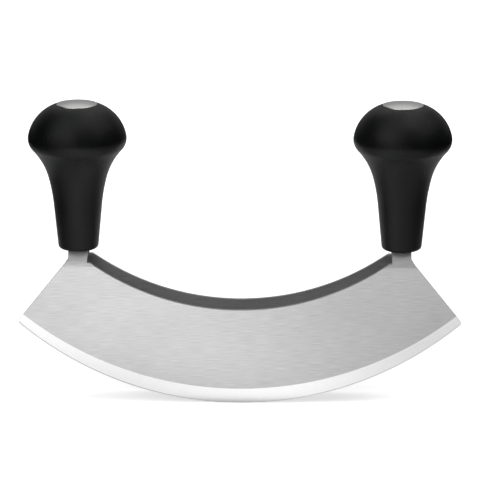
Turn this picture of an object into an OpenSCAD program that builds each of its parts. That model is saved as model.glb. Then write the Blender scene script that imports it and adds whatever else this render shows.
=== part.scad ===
// Double mezzaluna: two crescent blades side by side with an upright grip at each end.
// X runs along the blades, Y across them, Z up.
// The origin is on the board, midway between the two cutting edges.

/* [Blades] */
// Thickness of the blade sheet
blade_t = 2; // [1.5:0.1:2.5]
// Distance between the middle planes of the two blades
blade_gap = 22; // [20:0.5:24]
// Radius of the cutting edge
edge_r = 176; // [170:0.5:182]
// Radius of the hollow upper edge
top_r = 133; // [130:0.5:136]
// Height of the blade in the middle
blade_h = 50.4; // [48:0.2:52]
// Half the distance between the two tips of the front blade
tip_x = 116; // [112:0.5:120]
// How much shorter the rear blade is at each end
rear_inset = 4.2; // [0:0.1:5]
// Lean of the two ends from upright, in degrees
end_lean = 38.7; // [36:0.1:41]
// Rounding of the tips
tip_round = 1.6; // [0.8:0.1:2.5]

/* [Grinding] */
// Radius of the line where the ground bevel starts
bevel_r = 179; // [176:0.5:182]
// Height of the bevel line in the middle
bevel_h = 8; // [5:0.1:10]
// Fall of the bevel for each millimetre of its width
bevel_slope = 0.1; // [0.07:0.005:0.11]
// Angle of the fine cutting edge on each side, in degrees
edge_angle = 30; // [20:1:35]

/* [Tangs] */
// Width of a tang
tang_w = 10; // [8:0.5:11]
// Height of the ledge at the inner root of a tang
ledge_z = 75.4; // [74:0.1:76]
// Height at which the tangs start to bend inwards
bend_z = 73.2; // [72:0.1:74.5]
// Radius of the bends, at the middle of the sheet
bend_r = 4; // [3:0.5:5]
// Angle of the bends, in degrees
bend_a = 50; // [48:1:52]
// Thickness of the bar between the two tangs
bar_t = 5; // [4:0.5:6]
// Height of the tang tops
tang_top = 101; // [97:0.5:104]

/* [Grips] */
// Distance between the axes of the two grips
grip_pitch = 168.4; // [166:0.2:171]
// Height of the underside of the grips
grip_z = 80.9; // [80.5:0.1:82]
// Radius of the neck where it meets the underside
neck_r = 10.3; // [10.2:0.1:11]
// Opening of the straight part of the neck, in degrees
neck_flare = 5.5; // [5:0.1:6]
// Rounding of the bottom corner
foot_round = 2; // [1.6:0.1:2.2]
// Radius of the long curve of the neck
neck_curve_r = 95; // [85:1:105]
// Radius of the short curve under the knob
throat_r = 35.5; // [34:0.5:37]
// Largest radius of the knob
knob_r = 25.6; // [25:0.1:26]
// Height of the widest place of the knob
knob_z = 139.5; // [139:0.1:140]
// Radius of the knob's side
knob_round = 8.2; // [8:0.1:8.5]
// Radius of the knob's dome
dome_r = 21.4; // [21:0.1:22]

/* [Caps] */
// Diameter of the cap
cap_d = 21.4; // [20:0.2:24]
// Depth of the cap's rim below the dome
cap_rim = 2.4; // [2:0.1:3]

/* [Fixing] */
// Diameter of the stud
stud_d = 6; // [5:0.5:6]
// Height of the shoulder that the washer sits on
seat_z = 136; // [134:0.5:138]
// Diameter of the counterbore above the shoulder
counterbore_d = 16; // [15.6:0.1:16.4]
// Diameter of the rivets
rivet_d = 3; // [2.5:0.1:3.5]

/* [Hidden] */
$fn = 96;

steel = "#c9cac8";
dark_steel = "#9a9c9c";
black = "#1b1d1f";
rubber = "#2a2a2a";

eps = 0.01;
grip_x = grip_pitch / 2;
blade_y = blade_gap / 2;
top_z = blade_h + top_r;
bevel_z = bevel_h + bevel_r;

// The ends of the blades: straight lines that lean in by end_lean from the tips, which are at x.
function tip_z(x) = edge_r - sqrt(edge_r * edge_r - x * x);
function end_x(x, z) = x - (z - tip_z(x)) * tan(end_lean);

// Along the end line, and out of it
end_t = [-sin(end_lean), cos(end_lean)];
end_n = [cos(end_lean), sin(end_lean)];
tip_steps = 12;

// The bend of a tang: two arcs with a straight run between them, from the blade's plane to the bar's face.
tang_y = (bar_t + blade_t) / 2;
bend_dy = bend_r * (1 - cos(bend_a));
bend_dz = bend_r * sin(bend_a);
run = (blade_y - tang_y - 2 * bend_dy) / sin(bend_a);
straight_z = bend_z + 2 * bend_dz + run * cos(bend_a);
bend_steps = 12;
sheet_overlap = 6;
edge_spare = 0.3;

// The rivets and the bar
bar_z = straight_z + 0.8;
rivet_z = [bar_z + 4.2, tang_top - 4];
rivet_head_d = rivet_d + 2;
rivet_head_h = 0.9;
rivet_clear = 0.05;

// The pocket in a grip
pocket_clear = 0.15;
pocket_w = tang_w + 2 * pocket_clear;
pocket_y = tang_y + blade_t / 2 + pocket_clear;
mouth_y = 5.75;
mouth_top = straight_z + 0.6;
mouth_round = 0.5;
seal_wall = 1.2;
seal_h = 2.4;
seal_x = pocket_w / 2 + seal_wall;
seal_y = mouth_y + seal_wall;
seal_round = 3;
seal_clear = 0.1;

// The stack on the shoulder
stud_clear = 0.25;
washer_d = 12;
washer_h = 1.6;
lock_d = 11;
lock_h = 1.6;
lock_gap = 1.2;
nut_w = 10;
nut_h = 5;
nut_clear = 0.05;
washer_bore = 6.4;
stack_z = [seat_z, seat_z + washer_h, seat_z + washer_h + lock_h];
stud_top = stack_z[2] + nut_h + 2;
stud_chamfer = 0.8;

// The knob: its side arc, the dome arc above it and the throat arc below it, all tangent to each other.
dome_start = 11.4;
throat_start = 42.8;
throat_end = 14.5;
side_c = [knob_r - knob_round, knob_z];
dome_c = side_c - (dome_r - knob_round) * [cos(dome_start), sin(dome_start)];
throat_c = side_c + (knob_round + throat_r) * [cos(throat_start), -sin(throat_start)];
neck_c = throat_c + (neck_curve_r - throat_r) * [cos(throat_end), -sin(throat_end)];
foot_c = [neck_r - foot_round / cos(neck_flare) + foot_round * tan(neck_flare), grip_z + foot_round];

// The cap: a dome that goes on from the knob's, over a rim that sits in a recess.
cap_r = cap_d / 2;
rim_z = dome_c[1] + sqrt(dome_r * dome_r - (cap_r - dome_c[0]) * (cap_r - dome_c[0]));
cap_angle = asin((cap_r - dome_c[0]) / dome_r);
cap_dome_r = cap_r / sin(cap_angle);
cap_seat = rim_z - cap_rim;
cap_clear = 0.1;
cap_edge = 0.4;
cap_lift = cap_edge * tan(cap_angle);
plug_r = counterbore_d / 2 - 0.05;
plug_wall = 1.4;
plug_len = 7;

// Points along an arc about c, from angle a to angle b, in n steps
function arc(c, r, a, b, n) = [for (i = [0:n]) c + r * [cos(a + (b - a) * i / n), sin(a + (b - a) * i / n)]];

// The same points on the other side of the upright axis, in the opposite order
function mirrored(points) = [for (i = [len(points) - 1:-1:0]) [-points[i][0], points[i][1]]];

// Half section of a grip, without its holes: the height is the second value.
arc_steps = 24;
function grip_profile() = concat(
    [[0, grip_z]],
    arc(foot_c, foot_round, -90, -neck_flare, 8),
    arc(neck_c, neck_curve_r, 180 - neck_flare, 180 - throat_end, arc_steps),
    arc(throat_c, throat_r, 180 - throat_end, 180 - throat_start, arc_steps),
    arc(side_c, knob_round, -throat_start, dome_start, arc_steps),
    arc(dome_c, dome_r, dome_start, 90 - cap_angle, arc_steps),
    [[0, rim_z]]
);

// One face of the sheet at a tang, from the flat blade up to the tang's top: side is how far outside the
// sheet's middle it lies.
function sheet_face(side) = concat(
    [[blade_y + side, bend_z - sheet_overlap]],
    arc([blade_y - bend_r, bend_z], bend_r + side, 0, bend_a, bend_steps),
    arc([tang_y + bend_r, straight_z], bend_r - side, 180 + bend_a, 180, bend_steps),
    [[tang_y + side, tang_top]]
);

// Section of a bent tang in the Y-Z plane
module tang_section() {
    inner = sheet_face(-blade_t / 2);
    polygon(concat(sheet_face(blade_t / 2), [for (i = [len(inner) - 1:-1:0]) inner[i]]));
}

// Right-hand end of a crescent with its tips at x: from under the tip, round it and up the end line.
// The rounding is an arc about c that touches the end line and the cutting edge.
function end_outline(x) =
    let (
        out = [x, tip_z(x)] * end_n - tip_round,
        off = sqrt(pow(edge_r - tip_round, 2) - pow(out - edge_r * end_n[1], 2)),
        c = out * end_n + (edge_r * end_t[1] - off) * end_t,
        edge_n = (c - [0, edge_r]) / (edge_r - tip_round)
    )
    concat(
        [[x, -1], c + (tip_round + 1) * edge_n],
        arc(c, tip_round, atan2(edge_n[1], edge_n[0]), end_lean, tip_steps),
        [[end_x(x, bend_z), bend_z]]
    );

// Outline of the flat part of a blade: the crescent up to the height at which the bends start.
// It has a little to spare at the cutting edge, which grinding takes off.
module crescent(x) {
    difference() {
        intersection() {
            translate([0, edge_r]) circle(r = edge_r + edge_spare, $fn = 360);
            polygon(concat(end_outline(x), mirrored(end_outline(x))));
        }
        translate([0, top_z]) circle(r = top_r, $fn = 360);
    }
}

// Outline of what is bent at one end: the shoulders, with a small ledge on the inner side, and the tang
module shoulder(x) {
    low = bend_z - sheet_overlap;
    inner = grip_x - tang_w / 2;
    outer = grip_x + tang_w / 2;
    high = tip_z(x) + (x - outer) / tan(end_lean);
    difference() {
        polygon([[end_x(x, low), low], [outer, high], [outer, ledge_z], [0, ledge_z], [0, low]]);
        translate([0, top_z]) circle(r = top_r, $fn = 360);
    }
    translate([inner, low]) square([tang_w, tang_top - low]);
}

// Sheet of one blade, standing on its edge at +Y, before it is ground: x is where its tips are.
module blade_sheet(x) {
    translate([0, blade_y + blade_t / 2, 0]) rotate([90, 0, 0]) linear_extrude(blade_t) crescent(x);
    for (side = [0, 1]) mirror([side, 0, 0]) intersection() {
        translate([grip_x - 40, 0, 0]) rotate([90, 0, 90]) linear_extrude(80) tang_section();
        translate([0, blade_gap, 0]) rotate([90, 0, 0]) linear_extrude(blade_gap) shoulder(x);
    }
}

// Ring that grinding takes off one face: a cone that stands depth above the middle plane at radius r
// and falls by slope for each millimetre outwards
module ground_ring(z, r, depth, slope) {
    clear = blade_t / 2 + 0.2;
    start = r - (clear - depth) / slope;
    reach = 14;
    translate([0, blade_y, z]) rotate([-90, 0, 0]) rotate_extrude($fn = 360)
        polygon([[start, clear], [r + reach, depth - reach * slope], [r + reach, clear + blade_t]]);
}

// Countersunk hole for a rivet in a right-hand tang
module rivet_hole(z) {
    bore_d = rivet_d + 2 * rivet_clear;
    sink_d = rivet_head_d + 2 * rivet_clear;
    translate([grip_x, 0, z]) rotate([-90, 0, 0]) {
        cylinder(d = bore_d, h = blade_gap);
        translate([0, 0, tang_y + blade_t / 2 - rivet_head_h])
            cylinder(d1 = bore_d, d2 = sink_d, h = rivet_head_h + eps);
    }
}

// One blade, at +Y
module blade(x) {
    color(steel) difference() {
        blade_sheet(x);
        for (face = [0, 1]) translate([0, blade_y, 0]) mirror([0, face, 0]) translate([0, -blade_y, 0]) {
            ground_ring(bevel_z, bevel_r, blade_t / 2, bevel_slope);
            ground_ring(edge_r, edge_r, 0, tan(edge_angle));
        }
        for (side = [0, 1], z = rivet_z) mirror([side, 0, 0]) rivet_hole(z);
    }
}

module front_blade() {
    mirror([0, 1, 0]) blade(tip_x);
}

module rear_blade() {
    blade(tip_x - rear_inset);
}

// Puts a piece drawn on the Z axis on the axis of one grip: side is -1 for the left and 1 for the right.
module at_grip(side) {
    translate([side * grip_x, 0, 0]) children();
}

// Upright block with rounded corners, centred on the Z axis: x and y are half its sides.
module rounded_block(x, y, h, r) {
    linear_extrude(h) {
        square([2 * x, 2 * (y - r)], center = true);
        square([2 * (x - r), 2 * y], center = true);
        for (i = [-1, 1], j = [-1, 1]) translate([i * (x - r), j * (y - r)]) circle(r = r, $fn = 48);
    }
}

module handle(side) {
    color(black) at_grip(side) difference() {
        rotate_extrude() polygon(grip_profile());
        // Recess for the cap, counterbore, stud hole, pocket and mouth
        translate([0, 0, cap_seat]) cylinder(r = cap_r + cap_clear, h = cap_rim + 5);
        translate([0, 0, seat_z]) cylinder(d = counterbore_d, h = 40);
        translate([0, 0, tang_top - 1]) cylinder(d = stud_d + 2 * stud_clear, h = 60);
        translate([-pocket_w / 2, -pocket_y, mouth_top - 1])
            cube([pocket_w, 2 * pocket_y, tang_top - mouth_top + 1]);
        translate([0, 0, grip_z - 1])
            rounded_block(pocket_w / 2, mouth_y, mouth_top - grip_z + 1, mouth_round);
        translate([0, 0, grip_z - 1])
            rounded_block(seal_x + seal_clear, seal_y + seal_clear, seal_h + 1, seal_round);
    }
}

// Half section of what the chamfer takes off the cap's rim
module cap_chamfer() {
    inside = cap_r - cap_edge;
    above = rim_z + 1;
    polygon([
        [inside, above], [inside, rim_z + cap_lift], [cap_r + eps, rim_z - cap_edge], [cap_r + 1, above]
    ]);
}

module cap(side) {
    color(steel) at_grip(side) difference() {
        union() {
            rotate_extrude() difference() {
                intersection() {
                    translate([0, rim_z - cap_dome_r * cos(cap_angle)]) circle(r = cap_dome_r, $fn = 360);
                    translate([0, cap_seat]) square([cap_r, cap_r]);
                }
                cap_chamfer();
            }
            translate([0, 0, cap_seat - plug_len]) cylinder(r = plug_r, h = plug_len + eps);
        }
        translate([0, 0, cap_seat - plug_len - 1]) cylinder(r = plug_r - plug_wall, h = plug_len + 1);
    }
}

module tang_bar(side) {
    color(dark_steel) at_grip(side) difference() {
        union() {
            translate([-tang_w / 2, -bar_t / 2, bar_z]) cube([tang_w, bar_t, tang_top - bar_z]);
            translate([0, 0, tang_top - eps])
                cylinder(d = stud_d, h = stud_top - tang_top - stud_chamfer + eps);
            translate([0, 0, stud_top - stud_chamfer])
                cylinder(d1 = stud_d, d2 = stud_d - 2 * stud_chamfer, h = stud_chamfer);
        }
        for (z = rivet_z) translate([0, 0, z]) rotate([90, 0, 0])
            cylinder(d = rivet_d + 2 * rivet_clear, h = 2 * bar_t, center = true);
    }
}

module rivet(side, z) {
    half = tang_y + blade_t / 2;
    color(dark_steel) at_grip(side) translate([0, 0, z]) rotate([90, 0, 0]) {
        cylinder(d = rivet_d, h = 2 * half, center = true);
        for (end = [0, 1]) mirror([0, 0, end]) translate([0, 0, half - rivet_head_h])
            cylinder(d1 = rivet_d, d2 = rivet_head_d, h = rivet_head_h);
    }
}

module washer(side) {
    color(dark_steel) at_grip(side) translate([0, 0, stack_z[0]]) difference() {
        cylinder(d = washer_d, h = washer_h);
        translate([0, 0, -1]) cylinder(d = washer_bore, h = washer_h + 2);
    }
}

module lock_washer(side) {
    color(dark_steel) at_grip(side) translate([0, 0, stack_z[1]]) difference() {
        cylinder(d = lock_d, h = lock_h);
        translate([0, 0, -1]) cylinder(d = washer_bore, h = lock_h + 2);
        translate([0, -lock_gap / 2, -1]) cube([lock_d, lock_gap, lock_h + 2]);
    }
}

module nut(side) {
    corner_d = nut_w / cos(30);
    chamfer = (corner_d - nut_w) / 2 * tan(30);
    color(dark_steel) at_grip(side) translate([0, 0, stack_z[2]]) difference() {
        intersection() {
            cylinder(d = corner_d, h = nut_h, $fn = 6);
            union() {
                cylinder(d1 = nut_w, d2 = corner_d, h = chamfer);
                translate([0, 0, chamfer]) cylinder(d = corner_d, h = nut_h - 2 * chamfer);
                translate([0, 0, nut_h - chamfer]) cylinder(d1 = corner_d, d2 = nut_w, h = chamfer);
            }
        }
        translate([0, 0, -1]) cylinder(d = stud_d + 2 * nut_clear, h = nut_h + 2);
    }
}

module tang_seal(side) {
    color(rubber) at_grip(side) translate([0, 0, grip_z]) difference() {
        rounded_block(seal_x, seal_y, seal_h, seal_round - seal_clear);
        translate([0, 0, -1]) rounded_block(pocket_w / 2, mouth_y, seal_h + 2, mouth_round);
    }
}

front_blade();
rear_blade();
handle(-1);  // left_handle
cap(-1);  // left_cap
tang_bar(-1);  // left_tang_bar
rivet(-1, rivet_z[0]);  // left_lower_rivet
rivet(-1, rivet_z[1]);  // left_upper_rivet
washer(-1);  // left_washer
lock_washer(-1);  // left_lock_washer
nut(-1);  // left_nut
tang_seal(-1);  // left_tang_seal
handle(1);  // right_handle
cap(1);  // right_cap
tang_bar(1);  // right_tang_bar
rivet(1, rivet_z[0]);  // right_lower_rivet
rivet(1, rivet_z[1]);  // right_upper_rivet
washer(1);  // right_washer
lock_washer(1);  // right_lock_washer
nut(1);  // right_nut
tang_seal(1);  // right_tang_seal
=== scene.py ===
import logging
import math
from dataclasses import dataclass, field
from enum import Enum
from typing import Callable, Sequence

import bmesh
import bpy
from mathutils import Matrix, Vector


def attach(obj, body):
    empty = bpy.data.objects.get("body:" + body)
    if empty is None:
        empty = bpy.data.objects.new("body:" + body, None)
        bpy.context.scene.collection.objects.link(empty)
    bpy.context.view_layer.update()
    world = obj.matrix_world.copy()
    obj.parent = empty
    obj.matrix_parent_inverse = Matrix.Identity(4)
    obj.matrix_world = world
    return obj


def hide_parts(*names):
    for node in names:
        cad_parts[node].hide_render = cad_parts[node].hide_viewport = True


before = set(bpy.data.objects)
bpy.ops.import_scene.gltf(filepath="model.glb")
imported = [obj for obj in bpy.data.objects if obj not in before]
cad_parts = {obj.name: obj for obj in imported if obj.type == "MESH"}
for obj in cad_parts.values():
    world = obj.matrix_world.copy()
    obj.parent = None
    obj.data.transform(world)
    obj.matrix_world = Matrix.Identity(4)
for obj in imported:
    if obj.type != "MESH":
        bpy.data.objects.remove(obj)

LOG = logging.getLogger("mezzaluna")
MM = 0.001
MERGE = 1e-6
Point = tuple[float, float]
# Most of a noise's values lie between these two.
NOISE_SPAN = (0.3, 0.7)
# How far a cutter reaches past what it cuts, in millimetres.
OVERCUT = 1.0


class Side(Enum):
    """An end of the tool, as the sign of its X."""

    LEFT = -1
    RIGHT = 1

    @property
    def word(self) -> str:
        """The side's name as the pieces use it."""
        return self.name.lower()


class Place(Enum):
    """Which of the two blades a piece is."""

    FRONT = "front"
    REAR = "rear"


# Helpers for colours and nodes


def linear(code: str) -> tuple[float, float, float, float]:
    """Turns an sRGB hex colour into linear RGBA.

    Args:
        code: The colour as "#rrggbb".

    Returns:
        Red, green, blue and an alpha of 1.
    """
    parts = [int(code[i:i + 2], 16) / 255 for i in (1, 3, 5)]
    red, green, blue = (c / 12.92 if c <= 0.04045 else ((c + 0.055) / 1.055) ** 2.4 for c in parts)
    return red, green, blue, 1.0


def add_node(tree: bpy.types.NodeTree, kind: str, settings: dict | None = None,
             inputs: dict | None = None) -> bpy.types.Node:
    """Adds a node to a tree.

    Args:
        tree: The tree that gets the node.
        kind: The node's type name.
        settings: Properties of the node by name.
        inputs: Values or sockets to link, by input name or index.

    Returns:
        The new node.
    """
    node = tree.nodes.new(kind)
    for name, value in (settings or {}).items():
        setattr(node, name, value)
    for key, value in (inputs or {}).items():
        if isinstance(value, bpy.types.NodeSocket):
            tree.links.new(value, node.inputs[key])
        else:
            node.inputs[key].default_value = value
    return node


def new_material(name: str) -> tuple[bpy.types.Material, bpy.types.NodeTree]:
    """Makes an empty node material.

    Args:
        name: The material's name.

    Returns:
        The material and its node tree.
    """
    material = bpy.data.materials.new(name)
    material.use_nodes = True
    material.node_tree.nodes.clear()
    return material, material.node_tree


def close_material(tree: bpy.types.NodeTree, shader: bpy.types.NodeSocket) -> None:
    """Links a shader to the tree's output."""
    add_node(tree, "ShaderNodeOutputMaterial", inputs={"Surface": shader})


def math_node(tree: bpy.types.NodeTree, operation: str, *values: object) -> bpy.types.NodeSocket:
    """Adds a maths node, for shaders or geometry, and returns its result."""
    return add_node(tree, "ShaderNodeMath", {"operation": operation}, dict(enumerate(values))).outputs[0]


def pattern(tree: bpy.types.NodeTree, grain: Sequence[float], detail: float = 2.0,
            slant: float = 0.0) -> bpy.types.NodeSocket:
    """Adds a noise whose grain has a real size.

    Args:
        tree: The material's tree.
        grain: Length of the grain along X, Y and Z, in millimetres.
        detail: Octaves of the noise.
        slant: Turn of the grain about Y, in degrees.

    Returns:
        The noise value, from 0 to 1.
    """
    place = add_node(tree, "ShaderNodeTexCoord").outputs["Object"]
    turned = add_node(tree, "ShaderNodeMapping", inputs={
        "Vector": place, "Rotation": (0.0, math.radians(slant), 0.0)})
    scaled = add_node(tree, "ShaderNodeMapping", inputs={
        "Vector": turned.outputs[0], "Scale": tuple(1 / (MM * g) for g in grain)})
    return add_node(tree, "ShaderNodeTexNoise", inputs={
        "Vector": scaled.outputs[0], "Scale": 1.0, "Detail": detail}).outputs[0]


def spread(tree: bpy.types.NodeTree, value: object, low: float, high: float,
           start: float = 0.0, end: float = 1.0, curve: str = "LINEAR") -> bpy.types.NodeSocket:
    """Maps a value from one range to another and clamps it.

    Args:
        tree: The tree that gets the node.
        value: The value, as a socket or a number.
        low: Result at the start of the value's range.
        high: Result at its end.
        start: Start of the value's range.
        end: End of the value's range.
        curve: Blender's name for the curve between them.

    Returns:
        The mapped value.
    """
    return add_node(tree, "ShaderNodeMapRange", {"interpolation_type": curve}, {
        "Value": value, "From Min": start, "From Max": end, "To Min": low, "To Max": high}).outputs[0]


def shade(tree: bpy.types.NodeTree, factor: object, dark: str, light: str) -> bpy.types.NodeSocket:
    """Mixes two hex colours by a factor.

    Args:
        tree: The material's tree.
        factor: Share of the light colour, as a socket or a number.
        dark: Hex colour at 0.
        light: Hex colour at 1.

    Returns:
        The mixed colour.
    """
    mix = add_node(tree, "ShaderNodeMix", {"data_type": "RGBA"}, {0: factor})
    mix.inputs[6].default_value, mix.inputs[7].default_value = linear(dark), linear(light)
    return mix.outputs[2]


def bump(tree: bpy.types.NodeTree, height: object, depth: float, strength: object = 1.0) -> bpy.types.NodeSocket:
    """Adds a bump.

    Args:
        tree: The material's tree.
        height: The relief, from 0 to 1.
        depth: Its full depth in millimetres.
        strength: How much of it shows, as a socket or a number.

    Returns:
        The bumped normal.
    """
    return add_node(tree, "ShaderNodeBump", inputs={
        "Height": height, "Distance": depth * MM, "Strength": strength}).outputs[0]


# Finishes


@dataclass(frozen=True)
class BrushedBladeSteel:
    """Stainless steel strip, belt-brushed along its length, with a ground bevel along the cutting edge.

    The brushing leaves fine level lines that spread a reflection up and down. The ground band is
    finer, and its lighter colour is a painted brighter reflection of the table.
    """

    name: str = "brushed_stainless_steel"
    dull: str = "#b8b8b8"
    clear: str = "#cdcdcd"
    # The ground band's lighter colour is painted reflection: it makes the band render brighter than the face.
    ground: str = "#e7e7e7"
    # The real lines are some 0.05 mm wide. They are drawn coarser, as fine as the picture can show.
    line: tuple[float, float, float] = (9.0, 0.4, 0.34)
    slant: float = 1.5
    cloud: tuple[float, float, float] = (60.0, 20.0, 22.0)
    roughness: tuple[float, float] = (0.33, 0.37)
    ground_roughness: float = 0.22
    line_depth: float = 0.006
    ground_relief: float = 0.15
    anisotropy: float = 0.8
    # The line where the ground band starts is an arc: height of its centre, and its radius.
    bevel_centre: float = 187.0
    bevel_radius: float = 179.0
    bevel_fade: float = 0.15
    # Pressing the bends dulls the tangs. The steel gets rougher between these heights.
    tang_height: tuple[float, float] = (73.0, 76.0)
    tang_roughness: float = 0.56

    def build(self) -> bpy.types.Material:
        """Makes the material.

        Returns:
            The finished material.
        """
        material, tree = new_material(self.name)
        place = add_node(tree, "ShaderNodeTexCoord").outputs["Object"]
        xyz = add_node(tree, "ShaderNodeSeparateXYZ", inputs={0: place})
        below = math_node(tree, "SUBTRACT", xyz.outputs[2], self.bevel_centre * MM)
        reach = math_node(tree, "SQRT", math_node(
            tree, "ADD", math_node(tree, "MULTIPLY", xyz.outputs[0], xyz.outputs[0]),
            math_node(tree, "MULTIPLY", below, below)))
        ground = spread(tree, reach, 0.0, 1.0, self.bevel_radius * MM, (self.bevel_radius + self.bevel_fade) * MM)
        lines = pattern(tree, self.line, detail=3.0, slant=self.slant)
        clouds = pattern(tree, self.cloud, detail=1.0)
        face = shade(tree, spread(tree, lines, 0.0, 1.0, *NOISE_SPAN), self.dull, self.clear)
        # The ground band takes its lighter colour here, as a painted brighter reflection.
        colour = add_node(tree, "ShaderNodeMix", {"data_type": "RGBA"}, {0: ground, 6: face})
        colour.inputs[7].default_value = linear(self.ground)
        bent = spread(tree, xyz.outputs[2], 0.0, 1.0, *(MM * z for z in self.tang_height))
        face_rough = add_node(tree, "ShaderNodeMix", inputs={
            0: bent, 2: spread(tree, clouds, *self.roughness, *NOISE_SPAN), 3: self.tang_roughness}).outputs[0]
        rough = add_node(tree, "ShaderNodeMix", inputs={
            0: ground, 2: face_rough, 3: self.ground_roughness}).outputs[0]
        relief = bump(tree, lines, self.line_depth, spread(tree, ground, 1.0, self.ground_relief))
        upright = add_node(tree, "ShaderNodeCombineXYZ", inputs={2: 1.0}).outputs[0]
        shader = add_node(tree, "ShaderNodeBsdfPrincipled", inputs={
            "Base Color": colour.outputs[2], "Metallic": 1.0, "Roughness": rough, "Normal": relief,
            "Anisotropic": self.anisotropy, "Tangent": upright})
        close_material(tree, shader.outputs[0])
        return material


@dataclass(frozen=True)
class SatinCapSteel:
    """Pressed stainless steel disc, satin-finished: it shows a soft grey sheen and no clear reflection."""

    name: str = "satin_stainless_steel"
    dull: str = "#b3b3b2"
    clear: str = "#c0c0bf"
    grain: tuple[float, float, float] = (0.5, 0.5, 0.5)
    roughness: tuple[float, float] = (0.30, 0.38)
    depth: float = 0.004

    def build(self) -> bpy.types.Material:
        """Makes the material.

        Returns:
            The finished material.
        """
        material, tree = new_material(self.name)
        grain = pattern(tree, self.grain, detail=3.0)
        shader = add_node(tree, "ShaderNodeBsdfPrincipled", inputs={
            "Base Color": shade(tree, grain, self.dull, self.clear), "Metallic": 1.0,
            "Roughness": spread(tree, grain, *self.roughness, *NOISE_SPAN),
            "Normal": bump(tree, grain, self.depth)})
        close_material(tree, shader.outputs[0])
        return material


@dataclass(frozen=True)
class PlainFixingSteel:
    """Bright-drawn steel of bars, rivets, nuts and washers: even, slightly dark, with faint drawing marks."""

    name: str = "plain_fixing_steel"
    dull: str = "#8c8d8d"
    clear: str = "#a7a8a8"
    grain: tuple[float, float, float] = (0.8, 0.8, 4.0)
    roughness: tuple[float, float] = (0.32, 0.45)

    def build(self) -> bpy.types.Material:
        """Makes the material.

        Returns:
            The finished material.
        """
        material, tree = new_material(self.name)
        grain = pattern(tree, self.grain)
        shader = add_node(tree, "ShaderNodeBsdfPrincipled", inputs={
            "Base Color": shade(tree, grain, self.dull, self.clear), "Metallic": 1.0,
            "Roughness": spread(tree, grain, *self.roughness, *NOISE_SPAN)})
        close_material(tree, shader.outputs[0])
        return material


@dataclass(frozen=True)
class GrainedGripPlastic:
    """Moulded black polypropylene with a spark-eroded grain: nearly no shine, a faint rim light."""

    name: str = "grained_black_polypropylene"
    deep: str = "#060707"
    worn: str = "#0a0b0b"
    # The real grain is about 0.1 mm. It is drawn at 0.8 mm, which is as fine as the picture can show.
    grain: tuple[float, float, float] = (0.8, 0.8, 0.8)
    cloud: tuple[float, float, float] = (9.0, 9.0, 14.0)
    roughness: tuple[float, float] = (0.35, 0.43)
    grain_share: float = 0.5
    specular: float = 0.16
    depth: float = 0.14

    def build(self) -> bpy.types.Material:
        """Makes the material.

        Returns:
            The finished material.
        """
        material, tree = new_material(self.name)
        grain = pattern(tree, self.grain)
        clouds = pattern(tree, self.cloud)
        tone = math_node(tree, "MULTIPLY_ADD", grain, self.grain_share,
                         math_node(tree, "MULTIPLY", clouds, 1 - self.grain_share))
        shader = add_node(tree, "ShaderNodeBsdfPrincipled", inputs={
            "Base Color": shade(tree, spread(tree, tone, 0.0, 1.0, *NOISE_SPAN), self.deep, self.worn),
            "Roughness": spread(tree, clouds, *self.roughness, *NOISE_SPAN),
            "Specular IOR Level": self.specular, "Normal": bump(tree, grain, self.depth)})
        close_material(tree, shader.outputs[0])
        return material


@dataclass(frozen=True)
class SoftSealRubber:
    """Moulded thermoplastic rubber: dark, dull and slightly dusty."""

    name: str = "soft_seal_rubber"
    deep: str = "#1d1d1d"
    dusty: str = "#2c2c2b"
    grain: tuple[float, float, float] = (0.6, 0.6, 0.6)
    roughness: float = 0.75
    specular: float = 0.3
    depth: float = 0.02

    def build(self) -> bpy.types.Material:
        """Makes the material.

        Returns:
            The finished material.
        """
        material, tree = new_material(self.name)
        grain = pattern(tree, self.grain)
        shader = add_node(tree, "ShaderNodeBsdfPrincipled", inputs={
            "Base Color": shade(tree, grain, self.deep, self.dusty), "Roughness": self.roughness,
            "Specular IOR Level": self.specular, "Normal": bump(tree, grain, self.depth)})
        close_material(tree, shader.outputs[0])
        return material


@dataclass
class Finishes:
    """The five finishes of the tool, made once and shared."""

    blade: bpy.types.Material = field(default_factory=lambda: BrushedBladeSteel().build())
    cap: bpy.types.Material = field(default_factory=lambda: SatinCapSteel().build())
    fixing: bpy.types.Material = field(default_factory=lambda: PlainFixingSteel().build())
    grip: bpy.types.Material = field(default_factory=lambda: GrainedGripPlastic().build())
    seal: bpy.types.Material = field(default_factory=lambda: SoftSealRubber().build())


# Helpers for meshes


def evaluated_mesh(obj: bpy.types.Object, name: str) -> bpy.types.Mesh:
    """Copies an object's mesh with its modifiers applied.

    Args:
        obj: The object.
        name: Name of the new mesh.

    Returns:
        The plain mesh.
    """
    bpy.context.view_layer.update()
    depsgraph = bpy.context.evaluated_depsgraph_get()
    mesh = bpy.data.meshes.new_from_object(obj.evaluated_get(depsgraph), depsgraph=depsgraph)
    mesh.name = name
    return mesh


def new_object(name: str, mesh: bpy.types.Mesh) -> bpy.types.Object:
    """Puts a mesh in the scene as an object at the origin.

    Args:
        name: The object's name.
        mesh: Its mesh.

    Returns:
        The object.
    """
    obj = bpy.data.objects.new(name, mesh)
    bpy.context.scene.collection.objects.link(obj)
    return obj


def drop(*objects: bpy.types.Object) -> None:
    """Removes helper objects from the scene."""
    for obj in objects:
        bpy.data.objects.remove(obj)


def edit_mesh(mesh: bpy.types.Mesh, work: Callable[[bmesh.types.BMesh], None]) -> None:
    """Changes a mesh as a bmesh.

    Args:
        mesh: The mesh, which gets the result.
        work: What is done to it.
    """
    bm = bmesh.new()
    bm.from_mesh(mesh)
    work(bm)
    bm.to_mesh(mesh)
    bm.free()


def smooth_but_sharp(mesh: bpy.types.Mesh, angle: float) -> None:
    """Shades a mesh smooth, with sharp edges where its faces turn by more than the angle in degrees."""
    mesh.shade_smooth()
    mesh.set_sharp_from_angle(angle=math.radians(angle))


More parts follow.
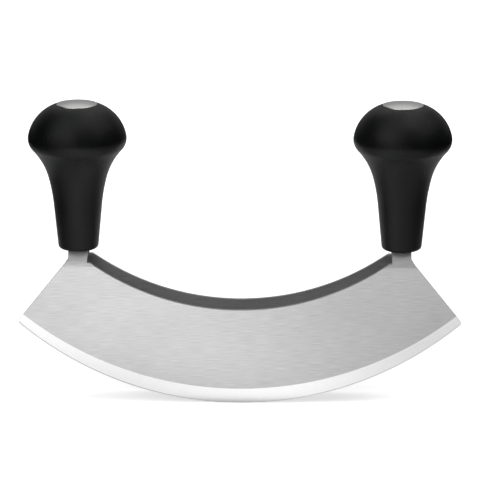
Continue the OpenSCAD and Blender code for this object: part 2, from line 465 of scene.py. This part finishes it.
def finish_piece(obj: bpy.types.Object, material: bpy.types.Material, slot: str, *nodes: str) -> None:
    """Gives a finished piece its material and its place in the frame.

    Args:
        obj: The piece.
        material: Its finish.
        slot: The record's material slot; not used.
        nodes: The CAD nodes that it stands for.
    """
    obj.data.materials.clear()
    obj.data.materials.append(material)
    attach(obj, "root")
    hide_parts(*nodes)
    LOG.info("%s: %d faces, stands for %s", obj.name, len(obj.data.polygons), ", ".join(nodes))


def arc(centre: Point, radius: float, start: float, end: float, steps: int) -> list[Point]:
    """Points along an arc.

    Args:
        centre: The arc's centre.
        radius: Its radius.
        start: First angle in degrees.
        end: Last angle in degrees.
        steps: Number of equal steps.

    Returns:
        The points, ends included.
    """
    turns = [math.radians(start + (end - start) * i / steps) for i in range(steps + 1)]
    return [(centre[0] + radius * math.cos(t), centre[1] + radius * math.sin(t)) for t in turns]


# The turned pieces


@dataclass
class Lathe:
    """Geometry Nodes tree that turns a half section, drawn in X and Z, about an upright axis."""

    name: str = "turned_piece"
    segments: int = 128
    sharp: float = 24.0
    tree: bpy.types.NodeTree = field(init=False)

    def __post_init__(self) -> None:
        """Builds the tree."""
        self.tree = bpy.data.node_groups.new(self.name, "GeometryNodeTree")
        self._interface()
        self._nodes()

    def _interface(self) -> None:
        """Names the tree's inputs and its output."""
        interface = self.tree.interface
        interface.new_socket("Half section", in_out="INPUT", socket_type="NodeSocketGeometry")
        interface.new_socket("Segments", in_out="INPUT", socket_type="NodeSocketInt")
        interface.new_socket("Axis X", in_out="INPUT", socket_type="NodeSocketFloat")
        interface.new_socket("Sharp angle", in_out="INPUT", socket_type="NodeSocketFloat")
        interface.new_socket("Finish", in_out="INPUT", socket_type="NodeSocketMaterial")
        interface.new_socket("Turned piece", in_out="OUTPUT", socket_type="NodeSocketGeometry")

    def _nodes(self) -> None:
        """Lays a grid of section points by segments, and rolls it round the axis."""
        tree = self.tree
        given = add_node(tree, "NodeGroupInput").outputs
        count = add_node(tree, "GeometryNodeAttributeDomainSize", inputs={0: given["Half section"]}).outputs[0]
        columns = math_node(tree, "ADD", given["Segments"], 1.0)
        grid = add_node(tree, "GeometryNodeMeshGrid", inputs={"Vertices X": columns, "Vertices Y": count})
        index = add_node(tree, "GeometryNodeInputIndex").outputs[0]
        row = math_node(tree, "MODULO", index, count)
        column = math_node(tree, "FLOOR", math_node(tree, "DIVIDE", index, count))
        turn = math_node(tree, "MULTIPLY", column, math_node(tree, "DIVIDE", math.tau, given["Segments"]))
        position = add_node(tree, "GeometryNodeInputPosition").outputs[0]
        sample = add_node(tree, "GeometryNodeSampleIndex", {"data_type": "FLOAT_VECTOR"}, {
            "Geometry": given["Half section"], "Value": position, "Index": row}).outputs[0]
        rolled = add_node(tree, "ShaderNodeVectorRotate", {"rotation_type": "Z_AXIS"}, {
            "Vector": sample, "Angle": turn}).outputs[0]
        axis = add_node(tree, "ShaderNodeCombineXYZ", inputs={0: given["Axis X"]}).outputs[0]
        place = add_node(tree, "ShaderNodeVectorMath", {"operation": "ADD"}, {0: rolled, 1: axis}).outputs[0]
        laid = add_node(tree, "GeometryNodeSetPosition", inputs={
            "Geometry": grid.outputs["Mesh"], "Position": place}).outputs[0]
        closed = add_node(tree, "GeometryNodeMergeByDistance", inputs={
            "Geometry": laid, "Distance": MERGE}).outputs[0]
        smooth = add_node(tree, "GeometryNodeSetShadeSmooth", inputs={
            "Geometry": closed, "Shade Smooth": True}).outputs[0]
        corner = add_node(tree, "GeometryNodeInputMeshEdgeAngle").outputs[0]
        hard = math_node(tree, "GREATER_THAN", corner, given["Sharp angle"])
        creased = add_node(tree, "GeometryNodeSetShadeSmooth", {"domain": "EDGE"}, {
            "Geometry": smooth, "Selection": hard, "Shade Smooth": False}).outputs[0]
        real = add_node(tree, "GeometryNodeRealizeInstances", inputs={0: creased}).outputs[0]
        painted = add_node(tree, "GeometryNodeSetMaterial", inputs={
            "Geometry": real, "Material": given["Finish"]}).outputs[0]
        add_node(tree, "NodeGroupOutput", inputs={0: painted})

    def turn(self, name: str, section: Sequence[Point], axis_x: float, finish: bpy.types.Material) -> bpy.types.Object:
        """Turns a half section into a closed mesh.

        Args:
            name: The piece's name.
            section: Radius and height of each point in millimetres, from axis to axis.
            axis_x: Place of the axis along X, in millimetres.
            finish: The piece's material.

        Returns:
            The piece, at the origin.
        """
        wire = bpy.data.meshes.new(name + "_section")
        wire.from_pydata([(x * MM, 0, z * MM) for x, z in section],
                         [(i, i + 1) for i in range(len(section) - 1)], [])
        helper = new_object(name + "_helper", wire)
        modifier = helper.modifiers.new("lathe", "NODES")
        modifier.node_group = self.tree
        values = {"Segments": self.segments, "Axis X": axis_x * MM,
                  "Sharp angle": math.radians(self.sharp), "Finish": finish}
        for item in self.tree.interface.items_tree:
            if item.name in values:
                modifier[item.identifier] = values[item.name]
        mesh = evaluated_mesh(helper, name)
        drop(helper)
        edit_mesh(mesh, lambda bm: bmesh.ops.recalc_face_normals(bm, faces=bm.faces))
        return new_object(name, mesh)


@dataclass
class Grip:
    """One upright grip: moulded handle with its knob, and the steel cap in its top. Sizes in millimetres."""

    side: Side
    finishes: Finishes
    lathe: Lathe
    pitch: float = 168.4
    foot_z: float = 80.9
    foot_r: float = 10.3
    flare: float = 5.5
    foot_round: float = 2.0
    neck_curve: float = 95.0
    throat: float = 35.5
    throat_from: float = 14.5
    throat_to: float = 42.8
    knob_r: float = 25.6
    knob_z: float = 139.5
    knob_round: float = 8.2
    dome: float = 21.4
    dome_from: float = 11.4
    cap_r: float = 10.7
    cap_rim: float = 2.4
    cap_gap: float = 0.1
    cap_edge: float = 0.5
    lip: float = 0.25
    counterbore_r: float = 8.0
    plug_gap: float = 0.05
    plug_wall: float = 1.4
    plug_len: float = 7.0
    seat_z: float = 136.0
    stud_r: float = 3.25
    # Half width along X, half width along Y and height of the top.
    pocket: tuple[float, float, float] = (5.15, 4.65, 101.0)
    mouth: tuple[float, float, float] = (5.15, 5.75, 83.9)
    seal: tuple[float, float, float] = (6.45, 7.05, 83.3)
    mouth_round: float = 0.5
    seal_round: float = 3.0
    # Steps along each kind of arc.
    arc_steps: int = 24
    cap_steps: int = 16
    foot_steps: int = 10
    corner_steps: int = 6
    rim_steps: int = 5
    lip_steps: int = 4

    @property
    def axis(self) -> float:
        """X of the grip's axis."""
        return self.side.value * self.pitch / 2

    @property
    def dome_centre(self) -> Point:
        """Centre of the dome's arc."""
        turn, reach = math.radians(self.dome_from), self.dome - self.knob_round
        return (self.knob_r - self.knob_round - reach * math.cos(turn), self.knob_z - reach * math.sin(turn))

    @property
    def cap_turn(self) -> float:
        """Angle of the dome at the cap's rim, from upright, in degrees."""
        return math.degrees(math.asin((self.cap_r - self.dome_centre[0]) / self.dome))

    @property
    def rim_z(self) -> float:
        """Height at which the cap meets the dome."""
        return self.dome_centre[1] + self.dome * math.cos(math.radians(self.cap_turn))

    def outside(self) -> list[Point]:
        """Draws the outer section of the handle.

        Returns:
            Its points, from the foot up to the cap's recess.
        """
        side = (self.knob_r - self.knob_round, self.knob_z)
        low, high = math.radians(self.throat_to), math.radians(self.throat_from)
        reach = self.knob_round + self.throat
        throat = (side[0] + reach * math.cos(low), side[1] - reach * math.sin(low))
        reach = self.neck_curve - self.throat
        neck = (throat[0] + reach * math.cos(high), throat[1] - reach * math.sin(high))
        lean = math.radians(self.flare)
        foot = (self.foot_r - self.foot_round / math.cos(lean) + self.foot_round * math.tan(lean),
                self.foot_z + self.foot_round)
        recess = self.cap_r + self.cap_gap
        turn = 90 - math.degrees(math.asin((recess + self.lip - self.dome_centre[0]) / self.dome))
        points = arc(foot, self.foot_round, -90, -self.flare, self.foot_steps)
        points += arc(neck, self.neck_curve, 180 - self.flare, 180 - self.throat_from, self.arc_steps)[1:]
        points += arc(throat, self.throat, 180 - self.throat_from, 180 - self.throat_to, self.arc_steps)[1:]
        points += arc(side, self.knob_round, -self.throat_to, self.dome_from, self.arc_steps)[1:]
        points += arc(self.dome_centre, self.dome, self.dome_from, turn, self.arc_steps)[1:]
        return points

    def handle_section(self) -> list[Point]:
        """Draws the handle's half section.

        Returns:
            Its points, from the axis at the foot round to the axis in the stud hole.
        """
        recess = self.cap_r + self.cap_gap
        seat = self.rim_z - self.cap_rim
        outside = self.outside()
        lip = (recess + self.lip, outside[-1][1] - self.lip)
        inner = self.pocket[2] - OVERCUT
        return [(0.0, self.foot_z), *outside, *arc(lip, self.lip, 90, 180, self.lip_steps)[1:],
                (recess, seat), (self.counterbore_r, seat), (self.counterbore_r, self.seat_z),
                (self.stud_r, self.seat_z), (self.stud_r, inner), (0.0, inner)]

    def cap_section(self) -> list[Point]:
        """Draws the cap's half section.

        Returns:
            Its points, from the axis on top round to the axis in its hollow plug.
        """
        turn = math.radians(self.cap_turn)
        radius = self.cap_r / math.sin(turn)
        centre_z = self.rim_z - radius * math.cos(turn)
        shoulder = math.degrees(math.acos((self.cap_r - self.cap_edge) / radius))
        seat, bore = self.rim_z - self.cap_rim, self.counterbore_r - self.plug_gap
        rim = (self.cap_r - self.cap_edge, self.rim_z - self.cap_edge * math.tan(turn))
        dome = [(max(x, 0.0), z) for x, z in arc((0.0, centre_z), radius, 90, shoulder, self.cap_steps)]
        return [*dome, *arc(rim, self.cap_edge, 90 - self.cap_turn, 0, self.rim_steps)[1:],
                (self.cap_r, seat), (bore, seat), (bore, seat - self.plug_len),
                (bore - self.plug_wall, seat - self.plug_len), (bore - self.plug_wall, seat), (0.0, seat)]

    def block(self, size: tuple[float, float, float], corner: float, low: float) -> bpy.types.Object:
        """Makes a rounded upright block on the grip's axis.

        Args:
            size: Half widths along X and Y, and the height of the top.
            corner: Radius of the upright corners.
            low: Height of the bottom.

        Returns:
            The block as a helper object.
        """
        half_x, half_y, top = size
        outline: list[Point] = []
        for turn, (sx, sy) in zip((0, 90, 180, 270), ((1, 1), (-1, 1), (-1, -1), (1, -1))):
            centre = (self.axis + sx * (half_x - corner), sy * (half_y - corner))
            outline += arc(centre, corner, turn, turn + 90, self.corner_steps) if corner else [centre]
        mesh = bpy.data.meshes.new("block")
        count = len(outline)
        points = [(x * MM, y * MM, z * MM) for z in (low, top) for x, y in outline]
        walls = [(i, (i + 1) % count, count + (i + 1) % count, count + i) for i in range(count)]
        mesh.from_pydata(points, [], [tuple(reversed(range(count))), tuple(range(count, 2 * count)), *walls])
        return new_object("block", mesh)

    def build_handle(self) -> bpy.types.Object:
        """Turns the handle and cuts the tang pocket, its mouth and the seal's recess into it.

        Returns:
            The finished piece.
        """
        name = f"{self.side.word}_grip"
        solid = self.lathe.turn(name + "_solid", self.handle_section(), self.axis, self.finishes.grip)
        below = self.foot_z - OVERCUT
        cutters = [self.block(self.pocket, 0.0, self.mouth[2] - OVERCUT),
                   self.block(self.mouth, self.mouth_round, below), self.block(self.seal, self.seal_round, below)]
        for cutter in cutters:
            cut = solid.modifiers.new("cut", "BOOLEAN")
            cut.object, cut.operation, cut.solver = cutter, "DIFFERENCE", "EXACT"
        piece = new_object(name, evaluated_mesh(solid, name))
        drop(solid, *cutters)
        smooth_but_sharp(piece.data, self.lathe.sharp)
        finish_piece(piece, self.finishes.grip, "grip_plastic", f"{self.side.word}_handle")
        return piece

    def build_cap(self) -> bpy.types.Object:
        """Turns the domed cap with its plug.

        Returns:
            The finished piece.
        """
        name = f"{self.side.word}_dome_cap"
        piece = self.lathe.turn(name, self.cap_section(), self.axis, self.finishes.cap)
        finish_piece(piece, self.finishes.cap, "cap_steel", f"{self.side.word}_cap")
        return piece

    def build(self) -> list[bpy.types.Object]:
        """Builds the grip and its cap."""
        return [self.build_handle(), self.build_cap()]


@dataclass
class Blade:
    """One crescent blade, with its edges broken as a belt leaves them. Sizes in millimetres."""

    place: Place
    finishes: Finishes
    edge_break: float = 0.12
    break_segments: int = 2
    break_angle: float = 40.0
    crease: float = 4.6
    flat_angle: float = 0.02

    def build(self) -> bpy.types.Object:
        """Copies the solid's mesh, merges its triangles into clean faces and breaks its edges.

        Returns:
            The finished piece.
        """
        node = f"{self.place.value}_blade"
        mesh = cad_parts[node].data.copy()
        mesh.name = f"{self.place.value}_crescent"
        edit_mesh(mesh, self.clean)
        piece = new_object(mesh.name, mesh)
        smooth_but_sharp(mesh, self.crease)
        bevel = piece.modifiers.new("edge break", "BEVEL")
        bevel.width, bevel.segments = self.edge_break * MM, self.break_segments
        bevel.limit_method, bevel.angle_limit = "ANGLE", math.radians(self.break_angle)
        bevel.use_clamp_overlap, bevel.harden_normals = True, True
        finish_piece(piece, self.finishes.blade, "blade_steel", node)
        return piece

    def clean(self, bm: bmesh.types.BMesh) -> None:
        """Merges loose triangles and joins those that lie in one plane."""
        bmesh.ops.remove_doubles(bm, verts=bm.verts, dist=MERGE)
        bmesh.ops.dissolve_limit(bm, angle_limit=math.radians(self.flat_angle), verts=bm.verts, edges=bm.edges)


@dataclass
class Fixings:
    """What holds one grip on the tangs, all of it inside the grip: it keeps its solids and gets its finish."""

    side: Side
    finishes: Finishes
    steel: tuple[str, ...] = ("tang_bar", "lower_rivet", "upper_rivet", "washer", "lock_washer", "nut")

    def build(self) -> list[bpy.types.Object]:
        """Dresses the pieces of steel and the soft seal.

        Returns:
            The dressed pieces.
        """
        finish = {piece: self.finishes.fixing for piece in self.steel} | {"tang_seal": self.finishes.seal}
        pieces = []
        for piece, material in finish.items():
            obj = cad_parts[f"{self.side.word}_{piece}"]
            obj.data.materials.clear()
            obj.data.materials.append(material)
            LOG.info("%s: dressed", obj.name)
            pieces.append(obj)
        return pieces


@dataclass(frozen=True)
class Softbox:
    """A soft lamp. Place, width and height are in metres, power in watts."""

    name: str
    place: tuple[float, float, float]
    size: tuple[float, float]
    power: float


@dataclass(frozen=True)
class Glow:
    """A round bright patch of the table, as steel and plastic mirror it. Centre and radius in metres."""

    centre: tuple[float, float, float]
    radius: float
    strength: float


@dataclass
class Studio:
    """White table in a dim room, soft lamps and the camera. Sizes in metres."""

    floor_size: float = 24.0
    floor_colour: str = "#f4f4f4"
    # Steel and plastic mirror the table in front of the tool and behind it. Beside the tool, and in the narrow strip
    # under it, the mirrored table fades out: the grips get darker flanks and the space between the blades stays dark.
    dim_colour: str = "#1c1c1c"
    side_reach: tuple[float, float] = (0.18, 0.38)
    strip_reach: tuple[float, float] = (0.01, 0.02)
    # The table's own light for the camera: near the tool, far from it, and where it changes.
    seen: tuple[float, float] = (0.5, 1.0)
    seen_reach: tuple[float, float] = (0.35, 1.0)
    glows: tuple[Glow, ...] = (
        Glow((0.03, -0.03, 0.0), 0.11, 0.45),
        Glow((-0.04, -0.06, 0.0), 0.12, 0.22),
        Glow((-0.055, -0.15, 0.0), 0.12, 0.42),
        Glow((-0.10, -0.34, 0.0), 0.38, 1.2),
        Glow((-0.30, -0.55, 0.0), 0.42, 1.4),
        Glow((-0.50, -1.00, 0.0), 0.5, 1.4),
        Glow((0.30, -0.30, 0.0), 0.3, 0.6),
    )
    # The wall behind the tool brightens with the cosine of the angle to the direction of its middle.
    back_wall: tuple[float, float, float] = (0.0, 0.989, 0.148)
    back_reach: tuple[float, float] = (0.4, 1.0)
    back_strength: float = 0.36
    # The ceiling brightens with the height of the direction, which is 1 straight up.
    ceiling_reach: tuple[float, float] = (0.8, 0.96)
    ceiling_strength: float = 0.6
    lamp_aim: tuple[float, float, float] = (0.0, 0.0, 0.07)
    lamps: tuple[Softbox, ...] = (
        Softbox("high front left", (-0.9, -1.5, 1.0), (2.0, 1.6), 9.0),
        Softbox("top left", (-0.7, -0.7, 1.2), (1.4, 1.4), 7.0),
        Softbox("top front right", (0.7, -0.7, 1.2), (1.4, 1.4), 2.5),
        Softbox("top right", (0.7, 0.0, 1.3), (1.5, 1.5), 7.0),
        Softbox("top", (0.0, 0.2, 1.5), (1.6, 1.6), 3.0),
        Softbox("back", (0.0, 1.0, 1.2), (1.2, 0.8), 2.4),
    )
    camera_place: tuple[float, float, float] = (0.03044, -1.74114, 0.54079)
    camera_aim: tuple[float, float, float] = (0.00005, 0.0, 0.08524)
    # The lens and the sensor are in millimetres.
    lens: float = 259.1
    sensor: float = 36.0
    clip: tuple[float, float] = (0.01, 100.0)

    def build_floor(self) -> None:
        """Lays the floor. It adds its own light where it is seen or mirrored, so it stays white but keeps a shadow."""
        mesh = bpy.data.meshes.new("floor")
        half = self.floor_size / 2
        mesh.from_pydata([(-half, -half, 0), (half, -half, 0), (half, half, 0), (-half, half, 0)], [], [(0, 1, 2, 3)])
        floor = new_object("floor", mesh)
        material, tree = new_material("white_table")
        ray = add_node(tree, "ShaderNodeLightPath").outputs
        view = math_node(tree, "MAXIMUM", ray["Is Camera Ray"], ray["Is Transmission Ray"])
        seen = spread(tree, self._distance(tree, (0.0, 0.0, 0.0)), *self.seen, *self.seen_reach)
        mirrored = 0.0
        for glow in self.glows:
            fade = spread(tree, self._distance(tree, glow.centre), glow.strength, 0.0, 0.0, glow.radius, "SMOOTHSTEP")
            mirrored = math_node(tree, "ADD", fade, mirrored)
        strength = math_node(tree, "MULTIPLY_ADD", view, seen, math_node(
            tree, "MULTIPLY", ray["Is Glossy Ray"], mirrored))
        own = add_node(tree, "ShaderNodeEmission", inputs={"Strength": strength}).outputs[0]
        place = add_node(tree, "ShaderNodeSeparateXYZ", inputs={
            0: add_node(tree, "ShaderNodeTexCoord").outputs["Object"]}).outputs
        side = spread(tree, math_node(tree, "ABSOLUTE", place[0]), 0.0, 1.0, *self.side_reach, "SMOOTHSTEP")
        strip = spread(tree, math_node(tree, "ABSOLUTE", place[1]), 1.0, 0.0, *self.strip_reach, "SMOOTHSTEP")
        dim = math_node(tree, "MULTIPLY", ray["Is Glossy Ray"], math_node(tree, "MAXIMUM", side, strip))
        lit = add_node(tree, "ShaderNodeBsdfDiffuse", inputs={
            "Color": shade(tree, dim, self.floor_colour, self.dim_colour)}).outputs[0]
        close_material(tree, add_node(tree, "ShaderNodeAddShader", inputs={0: own, 1: lit}).outputs[0])
        mesh.materials.append(material)

    @staticmethod
    def _distance(tree: bpy.types.NodeTree, centre: Sequence[float]) -> bpy.types.NodeSocket:
        """Measures how far each point of the table is from a centre."""
        place = add_node(tree, "ShaderNodeTexCoord").outputs["Object"]
        return add_node(tree, "ShaderNodeVectorMath", {"operation": "DISTANCE"}, {0: place, 1: centre}).outputs["Value"]

    def build_world(self) -> None:
        """Makes a dim room with a pale wall behind the tool and a bright ceiling. The camera itself sees white."""
        world = bpy.data.worlds.new("studio")
        world.use_nodes = True
        tree = world.node_tree
        tree.nodes.clear()
        ray = add_node(tree, "ShaderNodeLightPath").outputs["Is Camera Ray"]
        toward = add_node(tree, "ShaderNodeTexCoord").outputs["Generated"]
        facing = add_node(tree, "ShaderNodeVectorMath", {"operation": "DOT_PRODUCT"}, {0: toward, 1: self.back_wall})
        wall = spread(tree, facing.outputs["Value"], 0.0, self.back_strength, *self.back_reach, "SMOOTHSTEP")
        height = add_node(tree, "ShaderNodeSeparateXYZ", inputs={0: toward}).outputs[2]
        ceiling = spread(tree, height, 0.0, self.ceiling_strength, *self.ceiling_reach, "SMOOTHSTEP")
        sky = add_node(tree, "ShaderNodeBackground", inputs={"Strength": math_node(
            tree, "MAXIMUM", ray, math_node(tree, "ADD", wall, ceiling))})
        sky.inputs["Color"].default_value = linear("#ffffff")
        add_node(tree, "ShaderNodeOutputWorld", inputs={"Surface": sky.outputs[0]})
        bpy.context.scene.world = world

    def build_lamps(self) -> None:
        """Hangs the soft lamps."""
        for lamp in self.lamps:
            data = bpy.data.lights.new(lamp.name, "AREA")
            data.shape, data.energy = "RECTANGLE", lamp.power
            data.size, data.size_y = lamp.size
            self._aim(bpy.data.objects.new(lamp.name, data), lamp.place, self.lamp_aim)

    def build_camera(self) -> None:
        """Sets the camera at the photograph's place and view."""
        data = bpy.data.cameras.new("camera")
        data.lens, data.sensor_width = self.lens, self.sensor
        data.clip_start, data.clip_end = self.clip
        camera = bpy.data.objects.new("camera", data)
        self._aim(camera, self.camera_place, self.camera_aim)
        bpy.context.scene.camera = camera

    @staticmethod
    def _aim(obj: bpy.types.Object, place: Sequence[float], aim: Sequence[float]) -> None:
        """Puts a lamp or the camera in the scene.

        Args:
            obj: The lamp or the camera.
            place: Where it stands.
            aim: What it looks at.
        """
        bpy.context.scene.collection.objects.link(obj)
        obj.location = place
        obj.rotation_euler = (Vector(aim) - Vector(place)).to_track_quat("-Z", "Y").to_euler()

    def build(self) -> None:
        """Builds the whole studio."""
        self.build_floor()
        self.build_world()
        self.build_lamps()
        self.build_camera()
        bpy.context.scene.view_settings.view_transform = "Standard"


def main() -> None:
    """Builds the tool and the studio."""
    logging.basicConfig(level=logging.INFO, format="%(message)s")
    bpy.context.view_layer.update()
    finishes, lathe = Finishes(), Lathe()
    for place in Place:
        Blade(place, finishes).build()
    for side in Side:
        Grip(side, finishes, lathe).build()
        Fixings(side, finishes).build()
    Studio().build()


if __name__ == "__main__":
    main()
